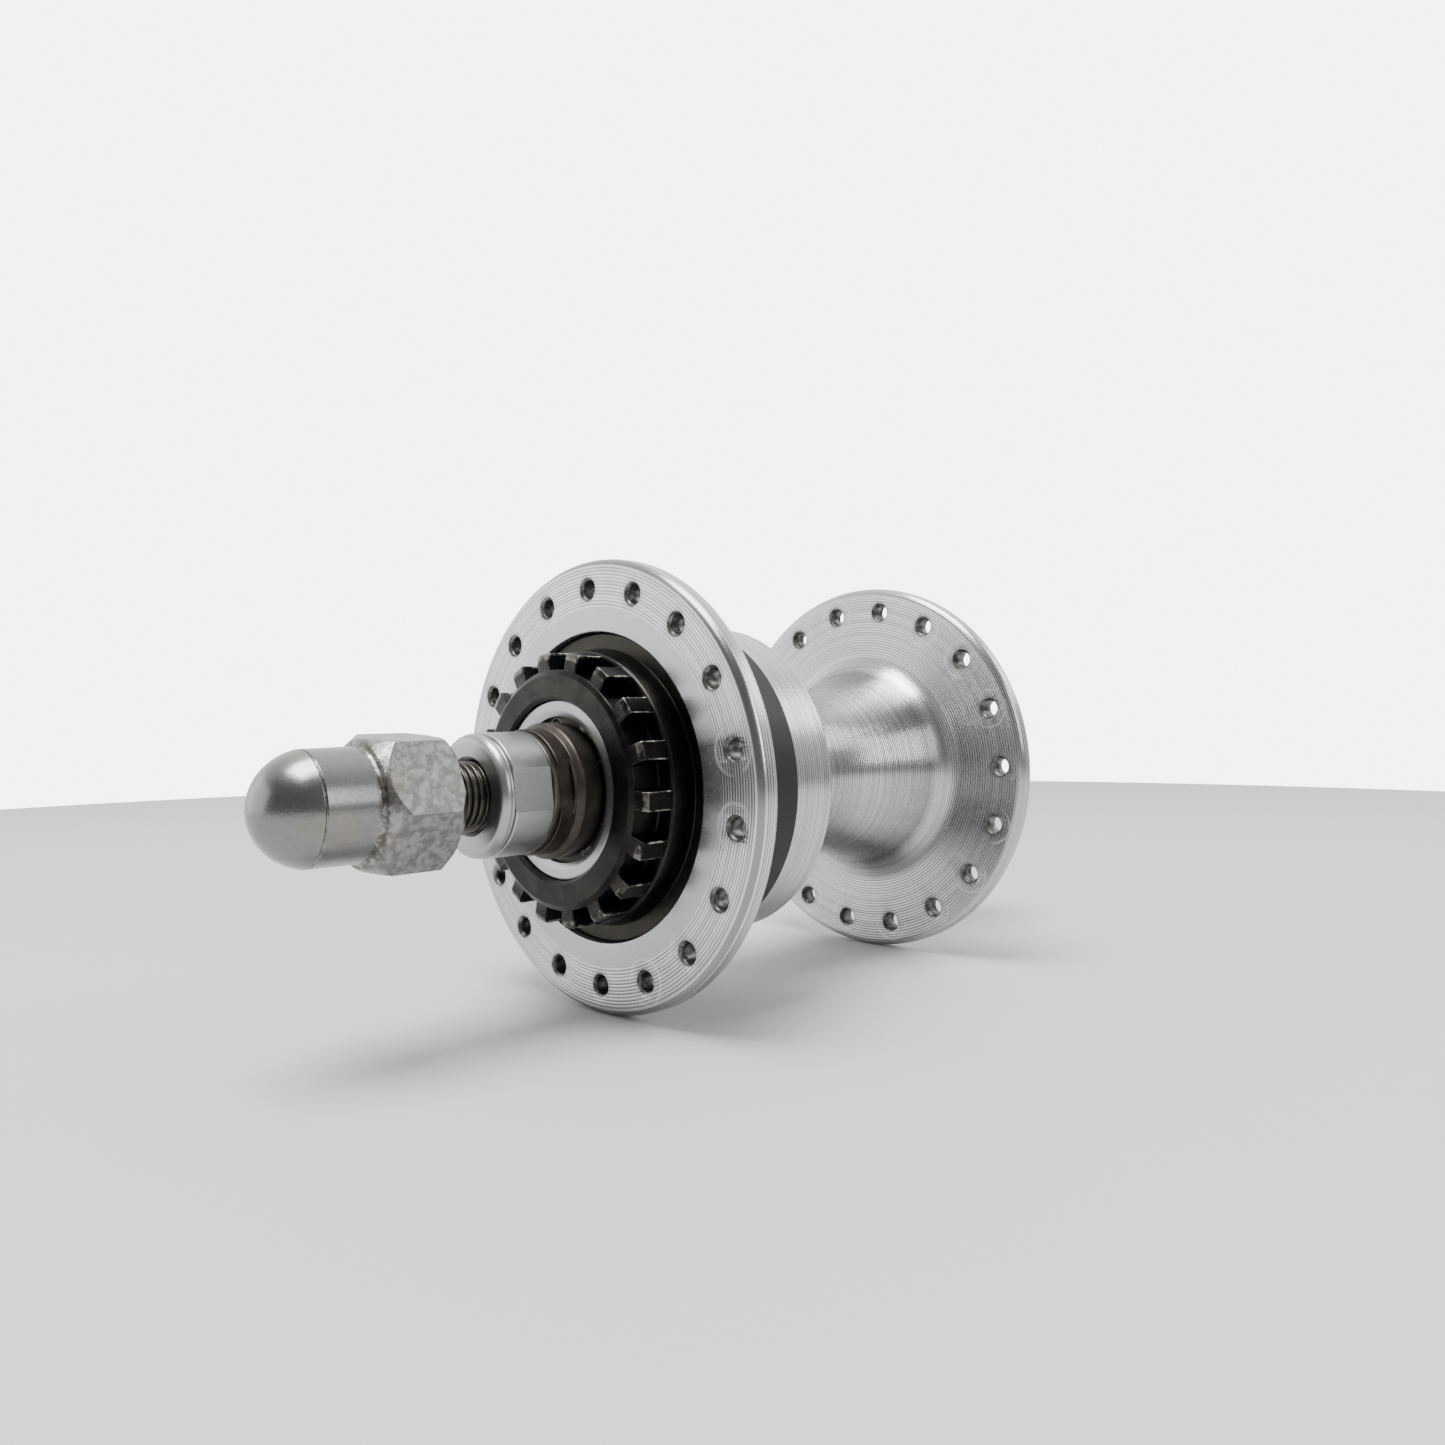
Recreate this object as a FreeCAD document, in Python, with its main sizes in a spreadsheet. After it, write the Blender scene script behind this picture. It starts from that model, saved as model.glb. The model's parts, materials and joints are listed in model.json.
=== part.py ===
import FreeCAD, Part
import math
import os
from types import SimpleNamespace
from FreeCAD import Placement, Rotation, Vector

import Sketcher

# High-flange front bicycle hub, 36 holes, with a splined steel boss for a roller brake on its left end.
# Frame: origin on the axle's line, midway between the two faces that the fork clamps. +Y runs along the
# axle to the plain end, -Y to the brake end, and +Z is up. Millimetres.
#
# The left end's parts are measured outwards from the left flange's outer face. Each bearing's parts are
# measured outwards from the plane through its ball centres, and are the same on both ends.

DRIVING = {
    # Places along the axle
    "clamp_face": 50.0,          # lock nut face, from the middle
    "left_flange_face": 28.6,    # outer face, from the middle, towards -Y
    "right_flange_face": 39.3,   # outer face, from the middle, towards +Y
    "left_ball_plane": 32.0,
    "right_ball_plane": 36.0,
    "nut_seat": 55.5,            # inner face of the domed nut, from the middle
    "axle_end": 71.5,
    # Shell
    "flange_rad": 33.3,
    "left_flange_thick": 3.8,
    "right_flange_thick": 3.4,
    "rim_round": 1.3,
    "spoke_circle_rad": 29.0,
    "spoke_count": 18,
    "spoke_hole_rad": 1.35,
    "spoke_sink_rad": 1.8,
    "left_hole_phase": 11.8,
    "right_hole_phase": 1.8,
    "drum_rad": 24.04,
    "drum_stop": 26.0,           # inner end of the drum, from the left flange's outer face
    "drum_round": 1.0,
    "drum_root_round": 3.0,
    "drum_cavity_rad": 21.0,
    "drum_cavity_stop": 23.0,
    "barrel_rad": 13.2,
    "barrel_root_round": 6.0,
    "barrel_bore_rad": 9.5,
    "trumpet_start": 42.0,
    "trumpet_bend": 30.0,
    "trumpet_angle": 15.0,
    "trumpet_stop": 61.2,
    "end_ring_rad": 15.6,
    "end_ring_proud": 0.7,
    # Brake boss
    "boss_rad": 22.7,
    "boss_depth": 14.0,
    "boss_recess": 1.1,
    "boss_edge": 0.35,
    "boss_hollow_rad": 20.7,
    "boss_hollow_depth": 10.0,
    "boss_core_rad": 14.5,
    "boss_bore_rad": 10.5,
    "collar_base_rad": 20.25,
    "collar_tip_rad": 19.8,
    "collar_height": 2.6,
    "spline_root_rad": 17.1,
    "spline_tip_rad": 19.6,
    "spline_top_rad": 18.8,
    "spline_inner_rad": 16.5,
    "spline_height": 7.05,
    "spline_bevel": 0.35,
    "spline_count": 18,
    "spline_width": 2.6,
    "spline_phase": 2.3,
    "boss_face": 7.45,
    "boss_face_rad": 16.35,
    "boss_mouth_rad": 13.3,
    # Printed band round the drum
    "band_start": 7.2,
    "band_stop": 17.6,
    "band_thick": 0.2,
    # Bearings: 3/16 in balls in a retainer
    "ball_rad": 2.38125,
    "ball_pitch_rad": 9.0,
    "ball_count": 9,
    "race_groove_rad": 2.52,
    "race_gap": 0.03,
    "cup_rad": 12.9,
    "cup_back": 3.6,
    "cup_front": 1.0,
    "cup_throat_rad": 8.4,
    "cup_lip_rad": 11.6,
    "cage_inner_rad": 8.2,
    "cage_finger_rad": 10.8,
    "cage_rim_rad": 11.2,
    "cage_back": 0.8,
    "cage_step": 1.0,
    "cage_front": 2.1,
    "cage_pocket_rad": 2.44,
    "cap_hole_rad": 10.4,
    "cap_skirt_rad": 12.2,
    "cap_front": 3.3,
    "cap_plate_thick": 0.6,
    "cap_edge": 0.25,
    # Cone, washer and lock nut
    "axle_rad": 4.7625,
    "axle_chamfer": 0.8,
    "cone_nose_rad": 6.2,
    "cone_back": 3.2,
    "cone_rad": 9.6,
    "cone_shoulder": 3.0,
    "cone_round_start": 5.1,
    "cone_collar_rad": 8.8,
    "cone_collar_start": 6.3,
    "cone_flat_start": 6.9,
    "cone_front": 9.0,
    "spanner_gap": 16.0,         # across the flats of the cones and the lock nuts
    "flat_phase": 173.0,
    "washer_rad": 8.5,
    "washer_thick": 1.0,
    "washer_edge": 0.15,
    "nut_rad": 8.47,
    "nut_face_rad": 7.1,
    "nut_land_length": 1.3,
    "nut_groove_rad": 7.95,
    "nut_groove_length": 0.7,
    "nut_mouth_rad": 5.4,
    # Domed axle nut
    "dome_hex_gap": 16.5,
    "dome_hex_phase": 35.0,
    "dome_hex_start_round": 1.1,
    "dome_hex_shoulder": 8.0,
    "dome_hex_stop": 10.6,
    "dome_body_rad": 7.15,
    "dome_hex_root_rad": 7.6,
    "dome_body_stop": 17.5,
    "dome_tip": 23.4,
    "dome_bore_depth": 17.0,
    "dome_bore_rad": 4.82,
}


class Size:
    """A length or angle that knows its value and the sheet expression that gives it."""

    def __init__(self, text, value):
        self.text = text
        self.value = float(value)

    def joined(self, sign, other, value):
        return Size(f"({self.text} {sign} {other.text})", value)

    def __add__(self, other):
        other = as_size(other)
        return self.joined("+", other, self.value + other.value)

    def __sub__(self, other):
        other = as_size(other)
        return self.joined("-", other, self.value - other.value)

    def __mul__(self, other):
        other = as_size(other)
        return self.joined("*", other, self.value * other.value)

    def __truediv__(self, other):
        other = as_size(other)
        return self.joined("/", other, self.value / other.value)


def as_size(number):
    return number if isinstance(number, Size) else Size(repr(number), number)


def size_of(function, angle):
    """The sine or cosine of an angle in degrees."""
    value = getattr(math, function)(math.radians(angle.value))
    return Size(f"{function}({angle.text} * 1 deg)", value)


doc = FreeCAD.newDocument("front_hub")
sheet = doc.addObject("Spreadsheet::Sheet", "Sizes")
for row, (alias, number) in enumerate(DRIVING.items(), start=1):
    sheet.set(f"A{row}", alias)
    sheet.set(f"B{row}", str(number))
    sheet.setAlias(f"B{row}", alias)
doc.recompute()
d = SimpleNamespace(**{alias: Size(f"Sizes.{alias}", number) for alias, number in DRIVING.items()})

SPANNER_FLATS = as_size(2)
HEX_FLATS = as_size(6)
TILT_45 = Size("sqrt(0.5)", math.sqrt(0.5))   # a bearing's line of contact is at 45 degrees
SHELL_END = d.left_flange_face + d.right_flange_face
sub_parts = []


# ---- Building blocks ----

def bind(thing, path, size):
    thing.setExpression(path, as_size(size).text)


def new_body(name):
    body = doc.addObject("PartDesign::Body", name)
    body.Label = name
    sub_parts.append(body)
    return body


def half_plane_sketch(body, name, phase=None):
    """A sketch whose X is the radius and whose Y is the place along the axle, turned about the axle."""
    sketch = body.newObject("Sketcher::SketchObject", name)
    plane = next(f for f in body.Origin.OriginFeatures if f.Role == "XY_Plane")
    sketch.AttachmentSupport = (plane, "")
    sketch.MapMode = "FlatFace"
    if phase is not None:
        sketch.AttachmentOffset = Placement(Vector(), Rotation(Vector(0, -1, 0), phase.value))
        bind(sketch, "AttachmentOffset.Rotation.Angle", phase)
    return sketch


def arc_centre(start, stop, radius, centre_on_left):
    """The centre of the arc of that radius from start to stop."""
    way = stop - start
    across = Vector(-way.y, way.x, 0).normalize()
    reach = math.sqrt(max(radius ** 2 - (way.Length / 2) ** 2, 0.0))
    return (start + stop) * 0.5 + across * (reach if centre_on_left else -reach)


def draw_outline(sketch, corners):
    """A closed outline. A corner is (radius, place along the axle), and a third item rounds the way on
    to the next corner: ("left" or "right", arc radius), the side that the arc's centre is on."""
    spots = [Vector(as_size(c[0]).value, as_size(c[1]).value, 0) for c in corners]
    edges = []
    starts = []
    arcs = []
    for index, corner in enumerate(corners):
        start = spots[index]
        stop = spots[(index + 1) % len(corners)]
        if len(corner) == 2:
            edges.append(Part.LineSegment(start, stop))
            starts.append((1, 2))
            continue
        side, radius = corner[2]
        on_left = side == "left"
        centre = arc_centre(start, stop, as_size(radius).value, on_left)
        first, last = (start, stop) if on_left else (stop, start)
        turn = [math.atan2(p.y - centre.y, p.x - centre.x) for p in (first, last)]
        circle = Part.Circle(centre, Vector(0, 0, 1), as_size(radius).value)
        edges.append(Part.ArcOfCircle(circle, turn[0], turn[1]))
        starts.append((1, 2) if on_left else (2, 1))
        arcs.append((index, radius))
    first_edge = sketch.GeometryCount
    sketch.addGeometry(edges)
    for index, corner in enumerate(corners):
        edge = first_edge + index
        following = first_edge + (index + 1) % len(corners)
        here = starts[index][0]
        there = starts[(index + 1) % len(corners)][0]
        sketch.addConstraint(Sketcher.Constraint("Coincident", edge, starts[index][1], following, there))
        limit_point(sketch, edge, here, "DistanceX", corner[0], -2)
        limit_point(sketch, edge, here, "DistanceY", corner[1], -1)
    for index, radius in arcs:
        constraint = Sketcher.Constraint("Radius", first_edge + index, as_size(radius).value)
        limit = sketch.addConstraint(constraint)
        bind(sketch, f"Constraints[{limit}]", radius)


def limit_point(sketch, edge, end, kind, size, zero_axis):
    """Hold one end of an edge at a distance from the origin, or on the axis where the distance is zero."""
    size = as_size(size)
    if size.value == 0.0:
        sketch.addConstraint(Sketcher.Constraint("PointOnObject", edge, end, zero_axis))
        return
    limit = sketch.addConstraint(Sketcher.Constraint(kind, -1, 1, edge, end, size.value))
    bind(sketch, f"Constraints[{limit}]", size)


def turned(body, name, corners, kind="Revolution"):
    """A shape turned on the lathe: a Revolution adds the outline's ring, a Groove cuts it."""
    sketch = half_plane_sketch(body, f"{name}_outline")
    draw_outline(sketch, corners)
    feature = body.newObject(f"PartDesign::{kind}", name)
    feature.Profile = sketch
    feature.ReferenceAxis = (sketch, ["V_Axis"])
    feature.Angle = 360
    sketch.Visibility = False


def around_axle(body, feature, count):
    """Repeat a feature evenly about the axle."""
    pattern = body.newObject("PartDesign::PolarPattern", f"{feature.Name}_pattern")
    pattern.Originals = [feature]
    pattern.Axis = (feature.Profile[0], ["V_Axis"])
    pattern.Angle = 360
    bind(pattern, "Occurrences", count)
    body.Tip = pattern


def bars_around(body, name, corners, width, count, phase, kind="Pad"):
    """Straight bars square to the axle: a Pad adds them as teeth, a Pocket cuts them away as flats."""
    sketch = half_plane_sketch(body, f"{name}_outline", phase)
    draw_outline(sketch, corners)
    feature = body.newObject(f"PartDesign::{kind}", name)
    feature.Profile = sketch
    feature.SideType = "Symmetric"
    bind(feature, "Length", width)
    doc.recompute()
    around_axle(body, feature, count)


def cut_flats(body, name, gap, start, stop, reach, count, phase):
    """Flats for a spanner, half the gap from the axle's line."""
    near = gap / 2
    box = [(near, start), (reach, start), (reach, stop), (near, stop)]
    bars_around(body, name, box, reach * 2, count, phase, kind="Pocket")


def place_on_axle(body, distance, side):
    """Stand a sub-part on the axle, its own +Y pointing outwards: side is -1 for left and 1 for right."""
    facing = Rotation(Vector(0, 0, 1), 0 if side > 0 else 180)
    body.Placement = Placement(Vector(0, side * distance.value, 0), facing)
    bind(body, "Placement.Base.y", distance * side)


# ---- Shell ----

def drill_spoke_holes(body, name, start, stop, phase):
    """Countersunk holes through one flange, each turned about its own line on the spoke circle."""
    sketch = half_plane_sketch(body, f"{name}_outline", phase)
    middle = d.spoke_circle_rad
    sink = d.spoke_sink_rad - d.spoke_hole_rad
    corners = [
        (middle, start),
        (middle + d.spoke_sink_rad, start),
        (middle + d.spoke_hole_rad, start + sink),
        (middle + d.spoke_hole_rad, stop - sink),
        (middle + d.spoke_sink_rad, stop),
        (middle, stop),
    ]
    draw_outline(sketch, corners)
    groove = body.newObject("PartDesign::Groove", name)
    groove.Profile = sketch
    groove.ReferenceAxis = (sketch, [f"Edge{len(corners)}"])
    groove.Angle = 360
    doc.recompute()
    around_axle(body, groove, d.spoke_count)


def make_hub_shell():
    """One turned forging: two flanges, the drum that holds the brake boss, and the flared barrel."""
    body = new_body("hub_shell")
    rim = d.flange_rad
    edge = d.rim_round
    right_inner = SHELL_END - d.right_flange_thick
    drum_wall = d.drum_rad - d.drum_round
    barrel_top = d.barrel_rad + d.barrel_root_round
    sine = size_of("sin", d.trumpet_angle)
    cosine = size_of("cos", d.trumpet_angle)
    flare_rad = d.barrel_rad + d.trumpet_bend * (as_size(1) - cosine)
    flare_start = d.trumpet_start + d.trumpet_bend * sine
    flare_end_rad = flare_rad + (d.trumpet_stop - flare_start) * sine / cosine
    root_round = (right_inner - d.trumpet_stop) / (as_size(1) - sine)
    root_rad = flare_end_rad + root_round * cosine
    cup_seat = SHELL_END - (d.right_flange_face - d.right_ball_plane) - d.cup_back
    end_ring = SHELL_END + d.end_ring_proud
    turned(body, "shell_turning", [
        (d.boss_rad, 0),
        (rim - edge, 0, ("left", edge)),
        (rim, edge),
        (rim, d.left_flange_thick - edge, ("left", edge)),
        (rim - edge, d.left_flange_thick),
        (d.drum_rad + d.drum_root_round, d.left_flange_thick, ("right", d.drum_root_round)),
        (d.drum_rad, d.left_flange_thick + d.drum_root_round),
        (d.drum_rad, d.drum_stop - d.drum_round, ("left", d.drum_round)),
        (drum_wall, d.drum_stop),
        (barrel_top, d.drum_stop, ("right", d.barrel_root_round)),
        (d.barrel_rad, d.drum_stop + d.barrel_root_round),
        (d.barrel_rad, d.trumpet_start, ("right", d.trumpet_bend)),
        (flare_rad, flare_start),
        (flare_end_rad, d.trumpet_stop, ("right", root_round)),
        (root_rad, right_inner),
        (rim - edge, right_inner, ("left", edge)),
        (rim, right_inner + edge),
        (rim, SHELL_END - edge, ("left", edge)),
        (rim - edge, SHELL_END),
        (d.end_ring_rad + d.end_ring_proud, SHELL_END),
        (d.end_ring_rad, end_ring),
        (d.cup_rad, end_ring),
        (d.cup_rad, cup_seat),
        (d.barrel_bore_rad, cup_seat),
        (d.barrel_bore_rad, d.drum_cavity_stop),
        (d.drum_cavity_rad, d.drum_cavity_stop),
        (d.drum_cavity_rad, d.boss_depth),
        (d.boss_rad, d.boss_depth),
    ])
    drill_spoke_holes(body, "left_spoke_holes", as_size(0), d.left_flange_thick, d.left_hole_phase)
    drill_spoke_holes(body, "right_spoke_holes", right_inner, SHELL_END, d.right_hole_phase)
    body.Placement = Placement(Vector(0, -d.left_flange_face.value, 0), Rotation())
    bind(body, "Placement.Base.y", d.left_flange_face * -1)


def make_printed_band():
    """The thin printed band on the drum, left plain."""
    body = new_body("drum_band")
    outer = d.drum_rad + d.band_thick
    turned(body, "band_turning", [
        (d.drum_rad, d.band_start),
        (outer, d.band_start),
        (outer, d.band_stop),
        (d.drum_rad, d.band_stop),
    ])
    body.Placement = Placement(Vector(0, -d.left_flange_face.value, 0), Rotation())
    bind(body, "Placement.Base.y", d.left_flange_face * -1)


# ---- Brake boss ----

def make_brake_boss():
    """A hardened steel cup pressed into the drum. Its splined nose carries the brake's inner rotor."""
    body = new_body("brake_boss")
    ledge = d.boss_depth - d.boss_recess
    root = d.boss_depth + d.collar_height
    face = d.boss_depth + d.boss_face
    top = d.boss_depth + d.spline_height
    seat = d.boss_depth + (d.left_ball_plane - d.left_flange_face) - d.cup_back
    mouth = d.boss_mouth_rad - d.cup_rad
    turned(body, "boss_turning", [
        (d.boss_hollow_rad, 0),
        (d.boss_rad, 0),
        (d.boss_rad, ledge - d.boss_edge),
        (d.boss_rad - d.boss_edge, ledge),
        (d.collar_base_rad, ledge),
        (d.collar_tip_rad, root - d.boss_edge),
        (d.collar_tip_rad - d.boss_edge, root),
        (d.spline_root_rad, root),
        (d.spline_root_rad, top),
        (d.boss_face_rad, face),
        (d.boss_mouth_rad, face),
        (d.cup_rad, face - mouth),
        (d.cup_rad, seat),
        (d.boss_bore_rad, seat),
        (d.boss_bore_rad, 0),
        (d.boss_core_rad, 0),
        (d.boss_core_rad, d.boss_hollow_depth),
        (d.boss_hollow_rad, d.boss_hollow_depth),
    ])
    tooth = [
        (d.spline_inner_rad, root - d.boss_edge),
        (d.spline_tip_rad, root - d.boss_edge),
        (d.spline_tip_rad, top - d.spline_bevel),
        (d.spline_top_rad, top),
        (d.spline_inner_rad, top),
    ]
    bars_around(body, "spline_tooth", tooth, d.spline_width, d.spline_count, d.spline_phase)
    body.Placement = Placement(Vector(0, (d.boss_depth - d.left_flange_face).value, 0),
                               Rotation(Vector(0, 0, 1), 180))
    bind(body, "Placement.Base.y", d.boss_depth - d.left_flange_face)


# ---- Bearings ----

# Races and retainer are drawn from a plane one cup depth inboard of the ball centres, so that every
# place along the axle is positive.
BALL_PLANE = d.cup_back
SIDES = {"left": -1, "right": 1}


def ball_plane_of(side_name):
    return d.left_ball_plane if side_name == "left" else d.right_ball_plane


def place_at_bearing(body, side_name):
    place_on_axle(body, ball_plane_of(side_name) - BALL_PLANE, SIDES[side_name])


def race_shift():
    """How far a race's groove centre stands off the ball's centre, along the axle and in radius."""
    return (d.race_groove_rad - d.ball_rad - d.race_gap) * TILT_45


def cut_race(body, name, radius, place):
    """A ring groove of the race's section."""
    sketch = half_plane_sketch(body, f"{name}_outline")
    centre = Vector(radius.value, place.value, 0)
    sketch.addGeometry(Part.Circle(centre, Vector(0, 0, 1), d.race_groove_rad.value))
    limits = [
        (Sketcher.Constraint("Radius", 0, d.race_groove_rad.value), d.race_groove_rad),
        (Sketcher.Constraint("DistanceX", -1, 1, 0, 3, radius.value), radius),
        (Sketcher.Constraint("DistanceY", -1, 1, 0, 3, place.value), place),
    ]
    for constraint, size in limits:
        bind(sketch, f"Constraints[{sketch.addConstraint(constraint)}]", size)
    groove = body.newObject("PartDesign::Groove", name)
    groove.Profile = sketch
    groove.ReferenceAxis = (sketch, ["V_Axis"])
    groove.Angle = 360


def make_cup(side_name):
    """The outer race, pressed into the boss or the shell."""
    body = new_body(f"{side_name}_bearing_cup")
    front = BALL_PLANE + d.cup_front
    turned(body, f"{side_name}_cup_turning", [
        (d.cup_throat_rad, 0),
        (d.cup_rad, 0),
        (d.cup_rad, front),
        (d.cup_lip_rad, front),
        (d.cup_lip_rad - d.cap_edge, BALL_PLANE),
        (d.ball_pitch_rad, BALL_PLANE),
        (d.cup_throat_rad, BALL_PLANE - d.cup_front),
    ])
    cut_race(body, f"{side_name}_cup_race", d.ball_pitch_rad - race_shift(), BALL_PLANE + race_shift())
    place_at_bearing(body, side_name)


def make_cone(side_name):
    """The inner race, screwed on the axle, with two flats for a thin spanner."""
    body = new_body(f"{side_name}_cone")
    inboard = BALL_PLANE - d.cone_back
    end = BALL_PLANE + d.cone_front
    race_rad = d.ball_pitch_rad + race_shift()
    step = d.cone_collar_start - d.cone_round_start
    turned(body, f"{side_name}_cone_turning", [
        (d.axle_rad, inboard),
        (d.cone_nose_rad, inboard),
        (race_rad - d.race_groove_rad, inboard + d.axle_chamfer),
        (race_rad - d.race_groove_rad, BALL_PLANE),
        (race_rad, BALL_PLANE),
        (race_rad, BALL_PLANE + d.ball_rad),
        (d.cone_rad - d.cap_edge, BALL_PLANE + d.cone_shoulder - d.cap_edge),
        (d.cone_rad, BALL_PLANE + d.cone_shoulder),
        (d.cone_rad, BALL_PLANE + d.cone_round_start, ("left", step)),
        (d.cone_collar_rad, BALL_PLANE + d.cone_collar_start),
        (d.cone_collar_rad, end),
        (d.axle_rad, end),
    ])
    cut_race(body, f"{side_name}_cone_race", race_rad, BALL_PLANE - race_shift())
    doc.recompute()
    cut_flats(body, f"{side_name}_cone_flat", d.spanner_gap, BALL_PLANE + d.cone_flat_start, end,
              d.cone_rad, SPANNER_FLATS, d.flat_phase)
    place_at_bearing(body, side_name)


def make_retainer(side_name):
    """The pressed ring that keeps the balls evenly apart."""
    body = new_body(f"{side_name}_ball_retainer")
    turned(body, f"{side_name}_retainer_turning", [
        (d.cage_inner_rad, BALL_PLANE - d.cage_back),
        (d.cage_finger_rad, BALL_PLANE - d.cage_back),
        (d.cage_finger_rad, BALL_PLANE + d.cage_step),
        (d.cage_rim_rad, BALL_PLANE + d.cage_step),
        (d.cage_rim_rad, BALL_PLANE + d.cage_front),
        (d.cage_inner_rad, BALL_PLANE + d.cage_front),
    ])
    name = f"{side_name}_retainer_pocket"
    sketch = half_plane_sketch(body, f"{name}_outline")
    pole = d.cage_pocket_rad
    draw_outline(sketch, [
        (d.ball_pitch_rad, BALL_PLANE - pole, ("left", pole)),
        (d.ball_pitch_rad + pole, BALL_PLANE, ("left", pole)),
        (d.ball_pitch_rad, BALL_PLANE + pole),
    ])
    pocket = body.newObject("PartDesign::Groove", name)
    pocket.Profile = sketch
    pocket.ReferenceAxis = (sketch, ["Edge3"])
    pocket.Angle = 360
    doc.recompute()
    around_axle(body, pocket, d.ball_count)
    place_at_bearing(body, side_name)


def make_balls(side_name):
    """Nine separate balls, kept as one group."""
    balls = []
    for number in range(DRIVING["ball_count"]):
        ball = doc.addObject("Part::Sphere", f"{side_name}_ball_{number + 1}")
        bind(ball, "Radius", d.ball_rad)
        turn = f"({number} * 360 deg / Sizes.ball_count)"
        ball.setExpression("Placement.Base.x", f"Sizes.ball_pitch_rad * cos{turn}")
        ball.setExpression("Placement.Base.z", f"Sizes.ball_pitch_rad * sin{turn}")
        balls.append(ball)
    group = doc.addObject("Part::Compound", f"{side_name}_bearing_balls")
    group.Label = f"{side_name}_bearing_balls"
    group.Links = balls
    sub_parts.append(group)
    place_on_axle(group, ball_plane_of(side_name), SIDES[side_name])


def make_dust_cap(side_name):
    """The plated ring pressed in front of the cup."""
    body = new_body(f"{side_name}_dust_cap")
    start = BALL_PLANE + d.cup_front
    front = BALL_PLANE + d.cap_front
    plate = front - d.cap_plate_thick
    turned(body, f"{side_name}_cap_turning", [
        (d.cap_skirt_rad, start),
        (d.cup_rad, start),
        (d.cup_rad, front - d.cap_edge),
        (d.cup_rad - d.cap_edge, front),
        (d.cap_hole_rad + d.cap_edge, front),
        (d.cap_hole_rad, front - d.cap_edge),
        (d.cap_hole_rad, plate),
        (d.cap_skirt_rad, plate),
    ])
    place_at_bearing(body, side_name)


# ---- Axle and its nuts ----

def make_axle():
    """A 3/8 inch solid axle, drawn at its thread's outer diameter."""
    body = new_body("axle")
    length = d.axle_end * 2
    tip = d.axle_rad - d.axle_chamfer
    turned(body, "axle_turning", [
        (0, 0),
        (tip, 0),
        (d.axle_rad, d.axle_chamfer),
        (d.axle_rad, length - d.axle_chamfer),
        (tip, length),
        (0, length),
    ])
    body.Placement = Placement(Vector(0, -d.axle_end.value, 0), Rotation())
    bind(body, "Placement.Base.y", d.axle_end * -1)


def make_washer(side_name):
    body = new_body(f"{side_name}_washer")
    rim = d.washer_rad
    edge = d.washer_edge
    turned(body, f"{side_name}_washer_turning", [
        (d.axle_rad, 0),
        (rim - edge, 0),
        (rim, edge),
        (rim, d.washer_thick - edge),
        (rim - edge, d.washer_thick),
        (d.axle_rad, d.washer_thick),
    ])
    place_on_axle(body, ball_plane_of(side_name) + d.cone_front, SIDES[side_name])


def make_lock_nut(side_name):
    """Round lock nut with two flats and a stepped nose that the fork end bears on."""
    body = new_body(f"{side_name}_lock_nut")
    seat = ball_plane_of(side_name) + d.cone_front + d.washer_thick
    length = d.clamp_face - seat
    shoulder = length - d.nut_land_length
    groove = shoulder - d.nut_groove_length
    edge = d.washer_edge
    mouth = d.nut_mouth_rad - d.axle_rad
    turned(body, f"{side_name}_lock_nut_turning", [
        (d.axle_rad, 0),
        (d.nut_rad - edge, 0),
        (d.nut_rad, edge),
        (d.nut_rad, groove - edge),
        (d.nut_rad - edge, groove),
        (d.nut_groove_rad, groove),
        (d.nut_groove_rad, shoulder),
        (d.nut_rad - edge, shoulder, ("left", d.nut_land_length)),
        (d.nut_face_rad, length),
        (d.nut_mouth_rad, length),
        (d.axle_rad, length - mouth),
    ])
    cut_flats(body, f"{side_name}_lock_nut_flat", d.spanner_gap, 0, groove,
              d.cone_rad, SPANNER_FLATS, d.flat_phase)
    place_on_axle(body, seat, SIDES[side_name])


def make_dome_nut(side_name):
    """Closed hexagon nut with a domed end, which clamps the fork end and covers the axle's end."""
    body = new_body(f"{side_name}_dome_nut")
    corner = d.dome_hex_gap / 2 / size_of("cos", as_size(30))
    start = d.dome_hex_start_round
    dome_height = d.dome_tip - d.dome_body_stop
    dome_round = (d.dome_body_rad * d.dome_body_rad / dome_height + dome_height) / 2
    turned(body, f"{side_name}_dome_turning", [
        (0, 0),
        (corner - start, 0),
        (corner, start),
        (corner, d.dome_hex_shoulder),
        (d.dome_hex_root_rad, d.dome_hex_stop),
        (d.dome_body_rad, d.dome_body_stop, ("left", dome_round)),
        (0, d.dome_tip),
    ])
    cut_flats(body, f"{side_name}_dome_flat", d.dome_hex_gap, 0, d.dome_hex_stop,
              corner + start, HEX_FLATS, d.dome_hex_phase)
    mouth = d.nut_mouth_rad - d.dome_bore_rad
    turned(body, f"{side_name}_dome_bore", [
        (0, 0),
        (d.nut_mouth_rad, 0),
        (d.dome_bore_rad, mouth),
        (d.dome_bore_rad, d.dome_bore_depth),
        (0, d.dome_bore_depth + d.dome_bore_rad / 2),
    ], kind="Groove")
    place_on_axle(body, d.nut_seat, SIDES[side_name])


def check_and_write():
    """Stop on any failed object, then write one STEP file per sub-part."""
    doc.recompute()
    faults = [o.Name for o in doc.Objects if {"Invalid", "Error"} & set(o.State)]
    for part in sub_parts:
        if part.Shape.isNull() or not part.Shape.isValid() or not part.Shape.Solids:
            faults.append(part.Label)
    if faults:
        raise RuntimeError(f"failed objects: {faults}")
    os.makedirs("parts", exist_ok=True)
    for part in sub_parts:
        box = part.Shape.BoundBox
        part.Shape.exportStep(f"parts/{part.Label}.step")
        print(f"{part.Label:22s} solids {len(part.Shape.Solids)} volume {part.Shape.Volume:9.1f} "
              f"y {box.YMin:7.2f} to {box.YMax:7.2f}")


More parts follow.
